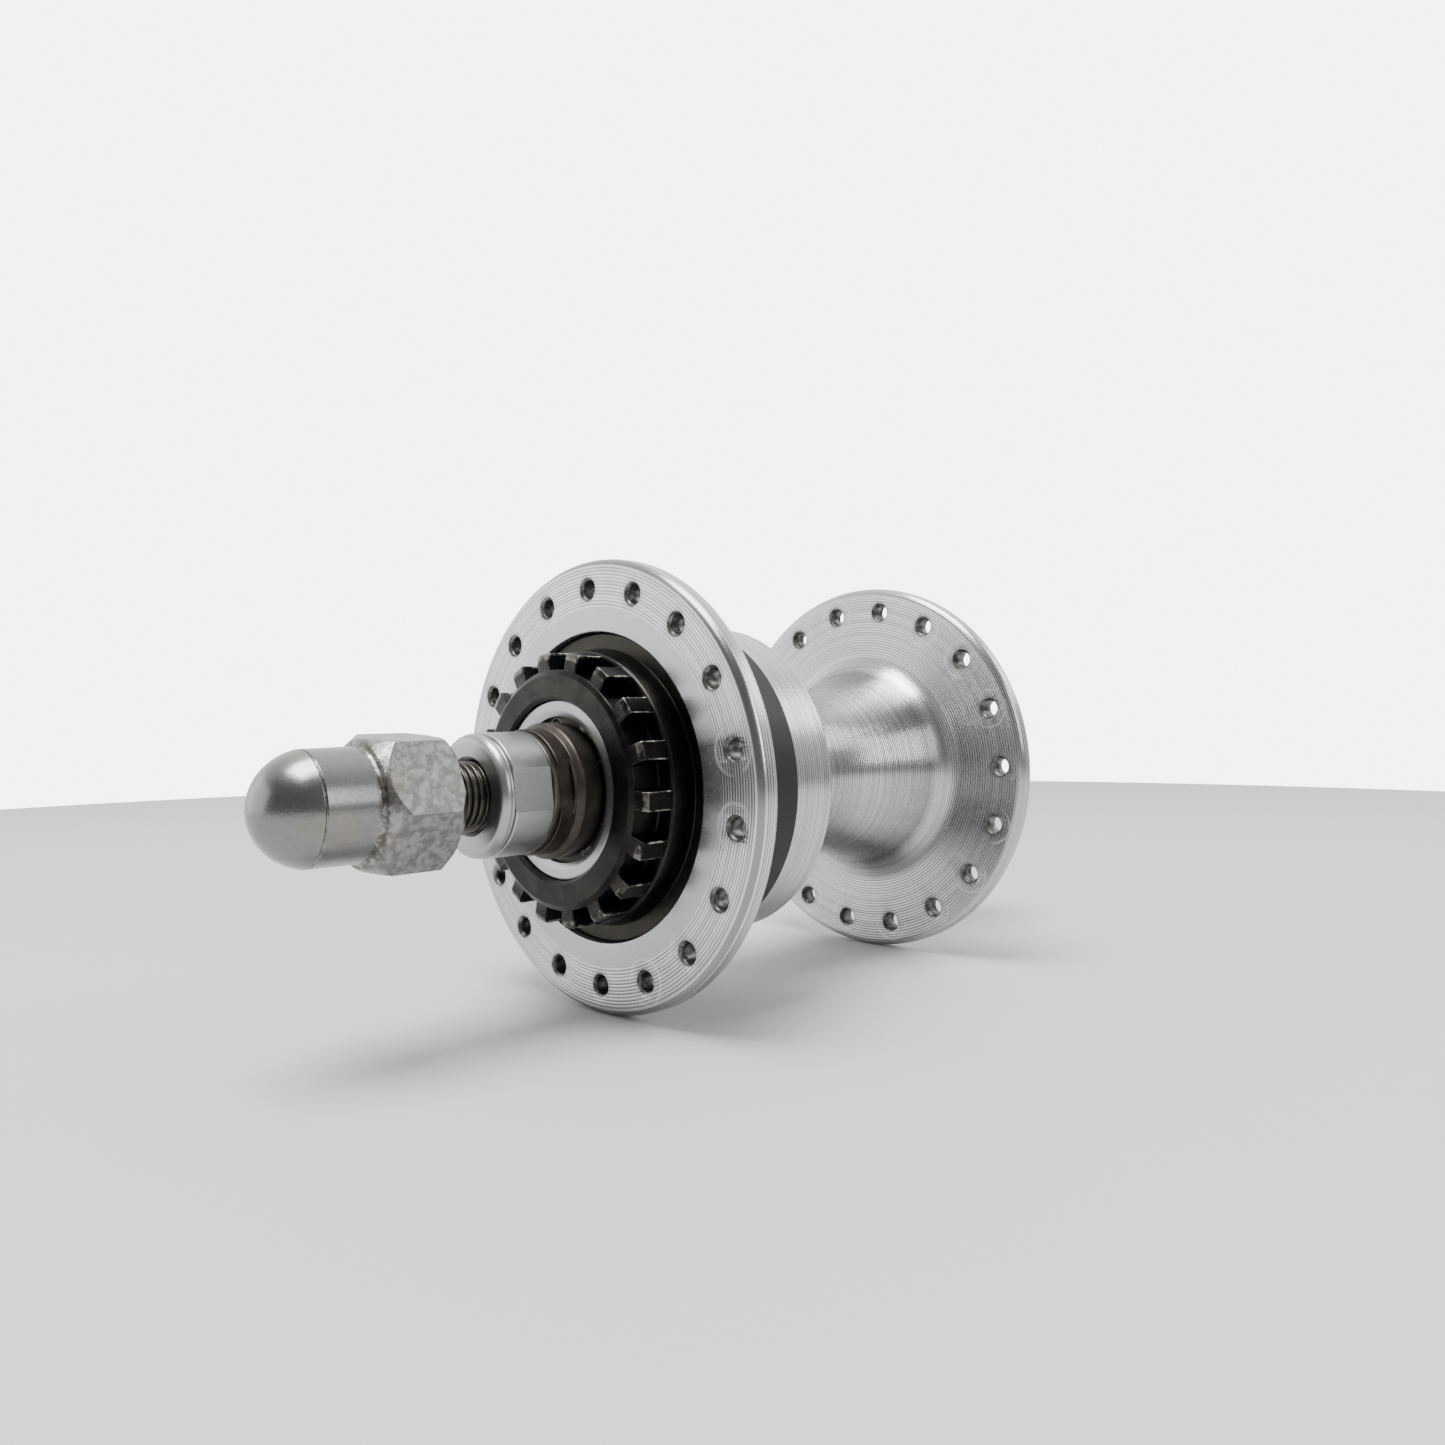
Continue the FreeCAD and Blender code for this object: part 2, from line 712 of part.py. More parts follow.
make_hub_shell()
make_printed_band()
make_brake_boss()
make_axle()
for side in SIDES:
    make_cup(side)
    make_balls(side)
    make_retainer(side)
    make_cone(side)
    make_dust_cap(side)
    make_washer(side)
    make_lock_nut(side)
    make_dome_nut(side)
check_and_write()
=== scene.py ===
import json
import math

import bmesh
import bpy
from mathutils import Matrix, Vector


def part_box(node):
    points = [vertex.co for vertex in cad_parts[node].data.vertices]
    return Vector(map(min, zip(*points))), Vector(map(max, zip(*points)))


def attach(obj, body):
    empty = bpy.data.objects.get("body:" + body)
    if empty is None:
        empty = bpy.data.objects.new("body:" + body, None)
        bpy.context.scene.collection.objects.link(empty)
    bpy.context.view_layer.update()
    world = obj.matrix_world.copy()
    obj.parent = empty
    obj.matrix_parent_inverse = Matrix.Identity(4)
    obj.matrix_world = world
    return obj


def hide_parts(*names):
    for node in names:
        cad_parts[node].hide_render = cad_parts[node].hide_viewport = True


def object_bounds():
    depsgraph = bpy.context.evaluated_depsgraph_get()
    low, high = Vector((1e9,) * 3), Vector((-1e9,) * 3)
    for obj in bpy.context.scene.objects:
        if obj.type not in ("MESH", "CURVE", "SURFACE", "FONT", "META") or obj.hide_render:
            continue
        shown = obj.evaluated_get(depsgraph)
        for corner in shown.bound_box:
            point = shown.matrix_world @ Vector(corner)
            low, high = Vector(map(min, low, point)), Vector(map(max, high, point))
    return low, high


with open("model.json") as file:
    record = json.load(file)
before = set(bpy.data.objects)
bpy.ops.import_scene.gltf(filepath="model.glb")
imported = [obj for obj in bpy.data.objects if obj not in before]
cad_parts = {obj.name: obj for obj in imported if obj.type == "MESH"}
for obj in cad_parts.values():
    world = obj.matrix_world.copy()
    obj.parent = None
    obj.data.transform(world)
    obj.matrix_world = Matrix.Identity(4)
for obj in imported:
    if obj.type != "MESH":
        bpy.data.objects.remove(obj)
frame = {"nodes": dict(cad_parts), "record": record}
cad_low, cad_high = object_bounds()

# The looks of a front bicycle hub. Pieces are turned, cut and threaded here at a finer grain than the
# CAD nodes that they stand for, to the same sizes. Sizes are millimetres until a mesh is made.

MM = 0.001
SIDES = {"left": -1, "right": 1}
WIDE_TURN = 288           # segments round a large piece
SMALL_TURN = 144          # segments round a small piece
EDGE = 0.12               # rounding of an edge that names none
EDGE_SHARE = 0.45         # the most that such an edge takes of a side
CURVE_STEP = math.radians(5)    # a smaller turn is a step along a curve
ARC_STEP = math.radians(14)     # longest step round an edge
ARC_REACH = 0.5           # longest step along a wide arc
SOFT_ANGLE = math.radians(36)   # edges that turn more than this are bevelled
BEVEL_STEPS = 2
SLIVER = 0.002            # shortest edge that is kept
WELD = 1e-5               # points nearer than this are one point
ON_AXIS = 1e-6            # a ring narrower than this is one point
FLAT_TOOL = 6.0           # depth of the block that cuts a flat
NORMAL_WEIGHT = 60        # how strongly large faces lead the shading


# ---- Places, from the frame ----

def along(node):
    """Where a node starts and stops along the axle."""
    low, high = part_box(node)
    return low.y / MM, high.y / MM


def widest(node):
    """A node's outer radius."""
    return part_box(node)[1].z / MM


def inboard(node, side):
    """The end of a node nearest the middle of the hub."""
    low, high = along(node)
    return low if side > 0 else high


def length_of(node):
    """A node's length along the axle."""
    low, high = along(node)
    return high - low


# ---- Turning, cutting and threading ----

def turned_line(corners):
    """The closed line through corners of (radius, place, rounding), with every corner rounded that
    isn't a step along a curve."""
    line = []
    for index, corner in enumerate(corners):
        here = Vector(corner[:2])
        before = Vector(corners[index - 1][:2])
        after = Vector(corners[(index + 1) % len(corners)][:2])
        arriving = here - before
        leaving = after - here
        turn = arriving.angle(leaving)
        if here.x == 0 or turn < CURVE_STEP:
            line.append(here)
            continue
        shortest = min(arriving.length, leaving.length)
        reach = (corner[2] if len(corner) > 2 else EDGE) * math.tan(turn / 2)
        reach = min(reach, shortest if len(corner) > 2 else EDGE_SHARE * shortest)
        radius = reach / math.tan(turn / 2)
        bend = 1 if arriving.x * leaving.y - arriving.y * leaving.x > 0 else -1
        start = here - arriving.normalized() * reach
        inward = Vector((-arriving.y, arriving.x)).normalized() * bend
        centre = start + inward * radius
        steps = max(2, math.ceil(turn / ARC_STEP), math.ceil(radius * turn / ARC_REACH))
        for step in range(steps + 1):
            swing = Matrix.Rotation(bend * turn * step / steps, 2)
            line.append(centre + swing @ (start - centre))
    return line


def new_object(name, mesh):
    thing = bpy.data.objects.new(name, mesh)
    bpy.context.scene.collection.objects.link(thing)
    return thing


def mesh_from(work, name):
    """A mesh with outward normals, smooth, from a bmesh in millimetres."""
    bmesh.ops.remove_doubles(work, verts=work.verts, dist=WELD)
    bmesh.ops.recalc_face_normals(work, faces=work.faces)
    bmesh.ops.scale(work, vec=(MM, MM, MM), verts=work.verts)
    mesh = bpy.data.meshes.new(name)
    work.to_mesh(mesh)
    work.free()
    mesh.polygons.foreach_set("use_smooth", [True] * len(mesh.polygons))
    return mesh


def spin(work, line, segments, start=0.0, side=1, centre=(0.0, 0.0)):
    """Add the ring that a closed line of (radius, place) sweeps about a line along Y."""
    rings = []
    for radius, place in line:
        y = start + side * place
        if radius < ON_AXIS:
            rings.append([work.verts.new((centre[0], y, centre[1]))])
            continue
        ring = []
        for step in range(segments):
            angle = 2 * math.pi * step / segments
            x = centre[0] + radius * math.cos(angle)
            z = centre[1] + radius * math.sin(angle)
            ring.append(work.verts.new((x, y, z)))
        rings.append(ring)
    for index, ring in enumerate(rings):
        following = rings[(index + 1) % len(rings)]
        if len(ring) == 1 and len(following) == 1:
            continue
        for step in range(segments):
            after = (step + 1) % segments
            if len(ring) == 1:
                work.faces.new((ring[0], following[step], following[after]))
            elif len(following) == 1:
                work.faces.new((ring[after], ring[step], following[0]))
            else:
                work.faces.new((ring[step], following[step], following[after], ring[after]))


def lathe(name, corners, start, side, segments=SMALL_TURN):
    """A turned piece, from corners of (radius, place, rounding) that run outwards from start."""
    work = bmesh.new()
    spin(work, turned_line(corners), segments, start, side)
    return new_object(name, mesh_from(work, name))


def bake_modifiers(thing):
    """Give an object the mesh that its modifiers make, and drop them."""
    view = bpy.context.evaluated_depsgraph_get()
    mesh = bpy.data.meshes.new_from_object(thing.evaluated_get(view))
    thing.modifiers.clear()
    old = thing.data
    thing.data = mesh
    bpy.data.meshes.remove(old)


def join_solids(thing, tool, operation):
    """Cut a tool's solid from a piece, or add it, and use the tool up."""
    modifier = thing.modifiers.new("cut", "BOOLEAN")
    modifier.object = tool
    modifier.operation = operation
    modifier.solver = "EXACT"
    modifier.material_mode = "TRANSFER"
    bake_modifiers(thing)
    mesh = tool.data
    bpy.data.objects.remove(tool)
    bpy.data.meshes.remove(mesh)


def drop_slivers(thing):
    """Close up the needle faces that cutting and bevelling leave."""
    work = bmesh.new()
    work.from_mesh(thing.data)
    bmesh.ops.dissolve_degenerate(work, dist=SLIVER * MM, edges=work.edges)
    work.to_mesh(thing.data)
    work.free()


def soften(thing, width):
    """Round the sharp edges that cutting left. With a smaller SOFT_ANGLE, the bevel throws spikes where
    a flat's arc meets a corner."""
    drop_slivers(thing)
    modifier = thing.modifiers.new("soften", "BEVEL")
    modifier.width = width * MM
    modifier.segments = BEVEL_STEPS
    modifier.limit_method = "ANGLE"
    modifier.angle_limit = SOFT_ANGLE
    modifier.use_clamp_overlap = False
    bake_modifiers(thing)
    drop_slivers(thing)


def cut_flats(thing, gap, low, high, phase):
    """Cut two flats a gap apart, between two places along the axle."""
    work = bmesh.new()
    for angle in (math.radians(phase), math.radians(phase) + math.pi):
        outward = Matrix.Translation(((gap + FLAT_TOOL) / 2, (low + high) / 2, 0))
        place = Matrix.Rotation(-angle, 4, "Y") @ outward
        size = Matrix.Diagonal((FLAT_TOOL, high - low, 4 * FLAT_TOOL, 1))
        bmesh.ops.create_cube(work, size=1, matrix=place @ size)
    join_solids(thing, new_object("flats", mesh_from(work, "flats")), "DIFFERENCE")


def stand_for(piece, node, material=None):
    """Finish a piece: it takes its node's place and body. It keeps the materials that it already has
    where none is given."""
    even = piece.modifiers.new("even_normals", "WEIGHTED_NORMAL")
    even.mode = "FACE_AREA"
    even.weight = NORMAL_WEIGHT
    if material:
        piece.data.materials.clear()
        piece.data.materials.append(material)
    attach(piece, body_of[node])
    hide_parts(node)


bodies = frame["record"]["behaviour"]["bodies"]
body_of = {node: body for body, nodes in bodies.items() for node in nodes}


# ---- Materials ----

EDGE_MILD = 0.985         # cosine between the true and the softened normal where an edge starts to show
EDGE_SHARP = 0.86         # and where it shows in full
ACROSS_MARKS = 0.25       # turns stretched highlights to lie across the tool marks


class Finish:
    """A material built up by short calls, each of which returns the socket that it made."""

    def __init__(self, name, metallic=1.0, anisotropic=0.0):
        self.material = bpy.data.materials.new(name)
        self.material.use_nodes = True
        self.tree = self.material.node_tree
        self.shader = self.tree.nodes["Principled BSDF"]
        self.shader.inputs["Metallic"].default_value = metallic
        self.shader.inputs["Anisotropic"].default_value = anisotropic
        self.shader.inputs["Anisotropic Rotation"].default_value = ACROSS_MARKS
        place = self.node("ShaderNodeTexCoord", output="Object")
        self.spot = self.node("ShaderNodeVectorMath", {0: place, "Scale": 1 / MM}, operation="SCALE")
        split = self.node("ShaderNodeSeparateXYZ", {0: self.spot}, whole=True)
        self.x, self.y, self.z = split.outputs
        self.radius = self.hypotenuse(self.x, self.z)
        if anisotropic:
            round_axle = self.node("ShaderNodeTangent", direction_type="RADIAL", axis="Y")
            self.tree.links.new(round_axle, self.shader.inputs["Tangent"])

    def node(self, kind, inputs=None, output=0, whole=False, **settings):
        """Add a node, wire or set its inputs, and return one of its outputs, or the whole node."""
        made = self.tree.nodes.new(kind)
        for key, value in settings.items():
            setattr(made, key, value)
        for key, value in (inputs or {}).items():
            if isinstance(value, bpy.types.NodeSocket):
                self.tree.links.new(value, made.inputs[key])
            else:
                made.inputs[key].default_value = value
        return made if whole else made.outputs[output]

    def sum(self, operation, first, second=0.0, third=0.0):
        """One step of arithmetic."""
        return self.node("ShaderNodeMath", {0: first, 1: second, 2: third}, operation=operation)

    def hypotenuse(self, first, second):
        """The length of the diagonal between two lengths at right angles."""
        return self.sum("SQRT", self.sum("ADD", self.sum("MULTIPLY", first, first),
                                         self.sum("MULTIPLY", second, second)))

    def apart(self, first, second):
        """The distance between two values."""
        return self.sum("ABSOLUTE", self.sum("SUBTRACT", first, second))

    def noise(self, scale, detail=3.0, stretch=(1.0, 1.0, 1.0), roughness=0.55):
        """Cloudy noise between 0 and 1, with scale in cycles to a millimetre."""
        vector = self.node("ShaderNodeMapping", {"Vector": self.spot, "Scale": stretch})
        return self.node("ShaderNodeTexNoise", {"Vector": vector, "Scale": scale, "Detail": detail,
                                                "Roughness": roughness})

    def ramp(self, value, low, high):
        """0 where a value is at low or beyond, 1 at high or beyond, and a smooth step between."""
        return self.node("ShaderNodeMapRange", {"Value": value, "From Min": low, "From Max": high,
                                                "To Min": 0.0, "To Max": 1.0},
                         interpolation_type="SMOOTHSTEP")

    def blend(self, share, first, second):
        """Colour first where share is 0 and second where it is 1."""
        colours = {0: share}
        for index, colour in ((6, first), (7, second)):
            colours[index] = colour if isinstance(colour, bpy.types.NodeSocket) else (*colour, 1.0)
        return self.node("ShaderNodeMix", colours, output=2, data_type="RGBA")

    def edges(self, width):
        """1 on edges that are sharper than their surroundings, within a width in millimetres."""
        soft = self.node("ShaderNodeBevel", {"Radius": width * MM}, samples=6)
        true = self.node("ShaderNodeNewGeometry", output="Normal")
        meeting = self.node("ShaderNodeVectorMath", {0: soft, 1: true}, output="Value",
                            operation="DOT_PRODUCT")
        return self.ramp(meeting, EDGE_MILD, EDGE_SHARP)

    def tool_marks(self, pitch, middle=0.0):
        """Fine rings left by the lathe, as a wave between -1 and 1 that runs on round every corner."""
        away = self.apart(self.y, middle)
        turns = self.sum("DIVIDE", self.sum("ADD", self.radius, away), pitch)
        wave = self.sum("SINE", self.sum("MULTIPLY", turns, 2 * math.pi))
        return wave, turns

    def across_spoke(self, count, phase):
        """Distance from the nearest of evenly spaced planes through the axle's line."""
        pitch = 2 * math.pi / count
        angle = self.sum("SUBTRACT", self.sum("ARCTAN2", self.z, self.x), phase)
        turn = self.sum("WRAP", angle, pitch / 2, -pitch / 2)
        return self.sum("ABSOLUTE", self.sum("MULTIPLY", self.sum("SINE", turn), self.radius))

    def gap_to_holes(self):
        """Distance from the middle of the nearest spoke hole."""
        on_left = self.sum("LESS_THAN", self.y, 0.0)
        left, right = (math.radians(HOLE_PHASE[name]) for name in ("left", "right"))
        across = self.across_spoke(SPOKE_COUNT, self.sum("MULTIPLY_ADD", on_left, left - right, right))
        out = self.sum("SUBTRACT", self.radius, SPOKE_CIRCLE_RAD)
        return self.hypotenuse(across, out)

    def streaks(self, turns, scale):
        """Noise that changes only from one tool mark to the next."""
        return self.node("ShaderNodeTexNoise", {"W": turns, "Scale": scale, "Detail": 2.0},
                         noise_dimensions="1D")

    def finish(self, colour, roughness, height=None):
        """Wire colour, roughness and a height in millimetres to the shader."""
        for name, value in (("Base Color", colour), ("Roughness", roughness)):
            if isinstance(value, bpy.types.NodeSocket):
                self.tree.links.new(value, self.shader.inputs[name])
            else:
                self.shader.inputs[name].default_value = value
        if height is not None:
            bump = self.node("ShaderNodeBump", {"Height": self.sum("MULTIPLY", height, MM),
                                                "Strength": 1.0, "Distance": 1.0})
            self.tree.links.new(bump, self.shader.inputs["Normal"])
        return self.material


def turned_aluminium():
    """Bright aluminium with fine rings of tool marks and painted shade in their furrows, a smooth band
    inside the left flange's spoke holes, rubbed rings round the holes where spoke heads were pressed
    home, and dirt and painted shade round each hole's mouth."""
    bright, clouded = (0.69, 0.69, 0.69), (0.60, 0.60, 0.605)
    furrow_shade, dull_ring, scuffed = (0.20, 0.20, 0.195), (0.38, 0.38, 0.375), (0.45, 0.45, 0.45)
    smooth, burnished, grime_and_shade = (0.36, 0.36, 0.365), (0.78, 0.78, 0.78), (0.22, 0.215, 0.20)
    mark_depth, grain_depth = 0.008, 0.0012
    face_depth = 0.2          # how far behind the left flange's face the smooth band reaches
    finish = Finish("turned_aluminium", anisotropic=0.55)
    wave, turns = finish.tool_marks(TOOL_PITCH, WAIST)
    streak = finish.streaks(turns, 0.45)
    on_face = finish.sum("LESS_THAN", finish.y, LEFT_FACE + face_depth)
    smooth_band = finish.sum("MULTIPLY", on_face, finish.ramp(finish.radius, *SMOOTH_BAND_EDGE))
    marked = finish.sum("MULTIPLY_ADD", smooth_band, -0.9, 1.0)
    depth = finish.sum("MULTIPLY", finish.sum("MULTIPLY_ADD", streak, 1.3, 0.45), marked)
    cloud = finish.noise(0.09, 4.0)
    grain = finish.noise(2.2, 3.0)
    height = finish.sum("MULTIPLY", finish.sum("MULTIPLY", wave, depth), mark_depth)
    height = finish.sum("MULTIPLY_ADD", grain, grain_depth, height)
    colour = finish.blend(finish.ramp(cloud, 0.3, 0.75), bright, clouded)
    # Painted shade: the bottoms of the tool-mark furrows are coloured darker.
    valley = finish.sum("MULTIPLY", finish.ramp(wave, 0.3, -0.7), finish.sum("MULTIPLY", depth, 0.75))
    colour = finish.blend(valley, colour, furrow_shade)
    band = finish.sum("MULTIPLY", finish.ramp(streak, 0.50, 0.66), finish.sum("MULTIPLY", marked, 0.45))
    colour = finish.blend(band, colour, dull_ring)
    scuffs = finish.ramp(finish.noise(0.8, 6.0, roughness=0.75), 0.60, 0.74)
    colour = finish.blend(finish.sum("MULTIPLY", scuffs, 0.2), colour, scuffed)
    colour = finish.blend(finish.sum("MULTIPLY", smooth_band, 0.8), colour, smooth)
    gap = finish.gap_to_holes()
    ring = finish.ramp(finish.apart(gap, HEAD_RING_RAD), 0.30, 0.10)
    rubbed = finish.sum("MULTIPLY", ring, finish.ramp(cloud, 0.48, 0.58))
    # Dirt and painted shade: the flange is coloured darker towards each spoke hole's mouth.
    grime_and_shade_mask = finish.ramp(gap, *HOLE_GRIME_AND_SHADE_EDGE)
    colour = finish.blend(finish.sum("MULTIPLY", rubbed, 0.35), colour, burnished)
    colour = finish.blend(finish.sum("MULTIPLY", grime_and_shade_mask, 0.4), colour, grime_and_shade)
    rough = finish.sum("MULTIPLY_ADD", cloud, 0.06, 0.235)
    rough = finish.sum("MULTIPLY_ADD", scuffs, 0.03, rough)
    rough = finish.sum("MULTIPLY_ADD", rubbed, 0.15, rough)
    return finish.finish(colour, rough, height)


def drilled_aluminium_painted_shade():
    """The rough walls of the drilled spoke holes, coloured dark all over as painted shade inside the
    holes, with patches of dirt.
    """
    # Painted shade: both colours are far darker than the flange's aluminium, and the noise between them
    # is dirt.
    bare, dirty = (0.20, 0.20, 0.195), (0.07, 0.067, 0.06)
    finish = Finish("drilled_aluminium_painted_shade")
    dirt = finish.ramp(finish.noise(0.9, 5.0), 0.35, 0.65)
    colour = finish.blend(dirt, bare, dirty)
    return finish.finish(colour, finish.sum("MULTIPLY_ADD", dirt, 0.2, 0.4),
                         finish.sum("MULTIPLY", finish.noise(3.5, 3.0), 0.02))


def black_steel():
    """Black oxide on machined steel, rubbed to bare metal along the edges of the teeth, with painted
    light on the collar behind the teeth.
    """
    oxide_black, oxide_brown = (0.015, 0.015, 0.0145), (0.032, 0.029, 0.026)
    collar_painted_light, bare_metal = (0.036, 0.033, 0.028), (0.34, 0.32, 0.29)
    mark_pitch, mark_depth, speck_depth = 0.35, 0.0035, 0.014
    finish = Finish("black_steel")
    cloud = finish.noise(0.25, 5.0)
    speck = finish.noise(2.6, 4.0, roughness=0.7)
    oxide = finish.blend(finish.ramp(cloud, 0.35, 0.7), oxide_black, oxide_brown)
    place = finish.sum("SUBTRACT", inboard("brake_boss", -1), finish.y)
    # Painted light: the collar behind the teeth is coloured lighter than the oxide around it.
    collar = finish.sum("MULTIPLY", finish.ramp(finish.radius, *COLLAR_INNER_EDGE),
                        finish.ramp(place, *COLLAR_LOW_EDGE))
    oxide = finish.blend(finish.sum("MULTIPLY", collar, 0.6), oxide, collar_painted_light)
    across = finish.across_spoke(TOOTH_COUNT, TOOTH_PHASE)
    side = finish.apart(across, TOOTH_WIDTH / 2 - 0.05)
    outer = finish.sum("MULTIPLY", finish.ramp(finish.radius, TOOTH_TIP_RAD - 0.5, TOOTH_TIP_RAD - 0.2),
                       finish.ramp(place, BOSS_ROOT + 0.1, BOSS_ROOT + 0.5))
    front = finish.sum("MULTIPLY", finish.ramp(place, BOSS_TOP - 0.5, BOSS_TOP - 0.3),
                       finish.ramp(finish.radius, TOOTH_FACE_RAD - 0.4, TOOTH_FACE_RAD))
    tooth_edge = finish.sum("MAXIMUM", finish.sum("MULTIPLY", finish.ramp(side, 0.2, 0.06), outer),
                            finish.sum("MULTIPLY", front, 0.4))
    rubbing = finish.ramp(finish.noise(0.75, 5.0, roughness=0.65), 0.42, 0.6)
    bare = finish.sum("MULTIPLY", tooth_edge, rubbing)
    fleck = finish.sum("MULTIPLY", finish.ramp(speck, 0.66, 0.75), 0.4)
    worn = finish.sum("MAXIMUM", bare, fleck)
    colour = finish.blend(worn, oxide, bare_metal)
    rough = finish.sum("MULTIPLY_ADD", cloud, 0.22, 0.20)
    wave, turns = finish.tool_marks(mark_pitch)
    marks = finish.sum("MULTIPLY", wave, finish.streaks(turns, 0.4))
    height = finish.sum("MULTIPLY", marks, mark_depth)
    height = finish.sum("MULTIPLY_ADD", speck, speck_depth, height)
    return finish.finish(colour, rough, height)


def bright_plate(name, light, dark, rough, pitch):
    """Plated steel with turned rings, small stains and slightly rubbed edges."""
    worn_edge = (0.72, 0.71, 0.69)
    mark_depth, grain_depth = 0.004, 0.004
    finish = Finish(name, anisotropic=0.4)
    wave, turns = finish.tool_marks(pitch)
    cloud = finish.noise(0.35, 5.0)
    stains = finish.sum("MULTIPLY", finish.ramp(cloud, 0.5, 0.72), 0.3)
    colour = finish.blend(stains, light, dark)
    rubbed = finish.edges(0.18)
    colour = finish.blend(finish.sum("MULTIPLY", rubbed, 0.3), colour, worn_edge)
    grain = finish.noise(3.0, 4.0)
    marks = finish.sum("MULTIPLY", wave, finish.streaks(turns, 0.5))
    height = finish.sum("MULTIPLY", marks, mark_depth)
    height = finish.sum("MULTIPLY_ADD", grain, grain_depth, height)
    return finish.finish(colour, finish.sum("MULTIPLY_ADD", cloud, 0.16, rough), height)


def dark_steel(name, light, dark, rough):
    """Dark, lightly oiled steel with brownish patches and fine scratches round the axle."""
    worn_edge = (0.2, 0.19, 0.17)
    scratch_depth = 0.004
    finish = Finish(name, metallic=0.95)
    cloud = finish.noise(0.3, 5.0)
    scratch = finish.noise(1.3, 5.0, stretch=(0.15, 1.0, 0.15), roughness=0.7)
    colour = finish.blend(finish.ramp(cloud, 0.35, 0.7), dark, light)
    colour = finish.blend(finish.sum("MULTIPLY", finish.edges(0.12), 0.08), colour, worn_edge)
    rough = finish.sum("MULTIPLY_ADD", cloud, 0.12, finish.sum("MULTIPLY_ADD", scratch, 0.12, rough))
    return finish.finish(colour, rough, finish.sum("MULTIPLY", scratch, scratch_depth))


def handled_zinc():
    """Bright zinc on the domed nuts: mottled and pitted on the hexagon, polished on the dome."""
    matt, shiny, clouded = (0.31, 0.31, 0.305), (0.21, 0.21, 0.207), (0.15, 0.15, 0.147)
    yellowed, dirty, worn_edge = (0.25, 0.215, 0.155), (0.07, 0.062, 0.05), (0.65, 0.65, 0.63)
    pit_depth, scratch_depth = -0.012, 0.006
    finish = Finish("handled_zinc")
    away = finish.sum("ABSOLUTE", finish.y)
    polished = finish.ramp(away, HEX_STOP - 0.5, HEX_STOP + 1.0)
    mottle = finish.noise(0.8, 6.0, roughness=0.7)
    spangle = finish.node("ShaderNodeTexVoronoi", {"Vector": finish.spot, "Scale": 1.1},
                          output="Distance", feature="F1")
    patch = finish.sum("MULTIPLY_ADD", spangle, 0.2, mottle)
    dull = finish.sum("MULTIPLY", finish.ramp(patch, 0.45, 0.72),
                      finish.sum("MULTIPLY_ADD", polished, -0.6, 0.9))
    colour = finish.blend(dull, finish.blend(polished, matt, shiny), clouded)
    warm = finish.sum("MULTIPLY", finish.ramp(finish.noise(0.16, 3.0), 0.52, 0.7), 0.3)
    colour = finish.blend(warm, colour, yellowed)
    seam = finish.ramp(finish.apart(away, CAP_SEAM), 0.26, 0.1)
    root = finish.ramp(finish.apart(away, HEX_STOP), 0.9, 0.2)
    dirt = finish.sum("MULTIPLY", finish.sum("MAXIMUM", seam, root), finish.ramp(mottle, 0.40, 0.58))
    colour = finish.blend(finish.sum("MULTIPLY", dirt, 0.8), colour, dirty)
    colour = finish.blend(finish.sum("MULTIPLY", finish.edges(0.25), 0.4), colour, worn_edge)
    scratch = finish.noise(1.4, 4.0, stretch=(1.0, 0.12, 1.0), roughness=0.7)
    rough = finish.sum("MULTIPLY_ADD", finish.sum("SUBTRACT", 1.0, polished), 0.08, 0.19)
    rough = finish.sum("MULTIPLY_ADD", mottle, 0.14, rough)
    pits = finish.sum("MULTIPLY", finish.ramp(finish.noise(1.6, 4.0), 0.4, 0.62), pit_depth)
    height = finish.sum("MULTIPLY", pits, finish.sum("MULTIPLY_ADD", polished, -0.8, 1.0))
    height = finish.sum("MULTIPLY_ADD", scratch, scratch_depth, height)
    return finish.finish(colour, rough, height)


def axle_thread():
    """Dark rolled thread with a painted highlight on its crests."""
    oxide_black, oxide_brown = (0.04, 0.038, 0.035), (0.07, 0.065, 0.057)
    crest_painted_highlight = (0.12, 0.113, 0.10)
    finish = Finish("axle_thread", metallic=0.95)
    crest = finish.ramp(finish.radius, AXLE_RAD - 0.25, AXLE_RAD - 0.03)
    cloud = finish.noise(0.7, 4.0)
    oxide = finish.blend(cloud, oxide_black, oxide_brown)
    # Painted highlight: the crests are coloured lighter than the oxide.
    colour = finish.blend(finish.sum("MULTIPLY", crest, 0.4), oxide, crest_painted_highlight)
    return finish.finish(colour, finish.sum("MULTIPLY_ADD", cloud, 0.2, 0.2),
                         finish.sum("MULTIPLY", finish.noise(3.0, 3.0), 0.006))


def printed_black():
    """Satin black print on the drum, with a trace of the tool marks under it."""
    ink, thin_ink = (0.005, 0.005, 0.005), (0.012, 0.012, 0.0115)
    mark_depth = 0.0015
    finish = Finish("printed_black", metallic=0.0)
    finish.shader.inputs["Specular IOR Level"].default_value = 0.3
    wave, _ = finish.tool_marks(TOOL_PITCH, WAIST)
    cloud = finish.noise(0.5, 5.0)
    colour = finish.blend(cloud, ink, thin_ink)
    rough = finish.sum("MULTIPLY_ADD", cloud, 0.2, 0.4)
    return finish.finish(colour, rough, finish.sum("MULTIPLY", wave, mark_depth))


def greased_steel_painted_shade():
    """Ground bearing steel under a thin uneven greasy film, coloured dark all over as painted shade
    inside the bearing.
    """
    thin_grease_shaded, thick_grease_shaded = (0.06, 0.057, 0.05), (0.02, 0.018, 0.013)
    finish = Finish("greased_steel_painted_shade")
    film = finish.noise(0.8, 4.0)
    colour = finish.blend(finish.ramp(film, 0.4, 0.7), thin_grease_shaded, thick_grease_shaded)
    return finish.finish(colour, finish.sum("MULTIPLY_ADD", film, 0.2, 0.2),
                         finish.sum("MULTIPLY", film, 0.01))


# ---- Pieces ----

